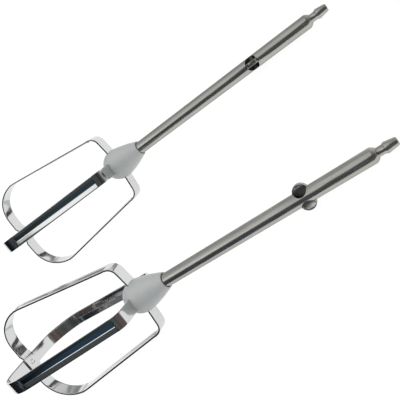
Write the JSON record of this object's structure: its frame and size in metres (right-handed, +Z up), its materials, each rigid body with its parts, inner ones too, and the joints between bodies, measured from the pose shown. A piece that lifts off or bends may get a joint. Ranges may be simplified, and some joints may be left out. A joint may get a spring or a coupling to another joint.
{
  "type": "hand mixer beaters",
  "caption": "Pair of wire-strip whisking beaters for a hand mixer: crossed channelled blade loops, moulded collar, eared drive shaft with grooved tip.",
  "frame": {"origin": "centre of the pair's footprint, on the table it lies on", "axes": "+X along the shafts, from the blades to the drive tips; +Z up from the table; +Y from beater b to beater a"},
  "size_m": [0.1993, 0.1131, 0.0416],
  "materials": {
    "rod_steel": "satin-polished turned rod",
    "strip_steel": "bright polished strip",
    "collar_plastic": "satin moulded"
  },
  "bodies": {
    "beater_a": {"shaft_a": "rod_steel", "collar_a": "collar_plastic", "inner_loop_a": "strip_steel", "outer_loop_a": "strip_steel"},
    "beater_b": {"shaft_b": "rod_steel", "collar_b": "collar_plastic", "inner_loop_b": "strip_steel", "outer_loop_b": "strip_steel"}
  },
  "joints": [
    {"name": "beater_b_lift", "type": "slide", "parent": "beater_a", "child": "beater_b", "axis": [0, 0, 1], "range_m": [0, 0.08]}
  ]
}
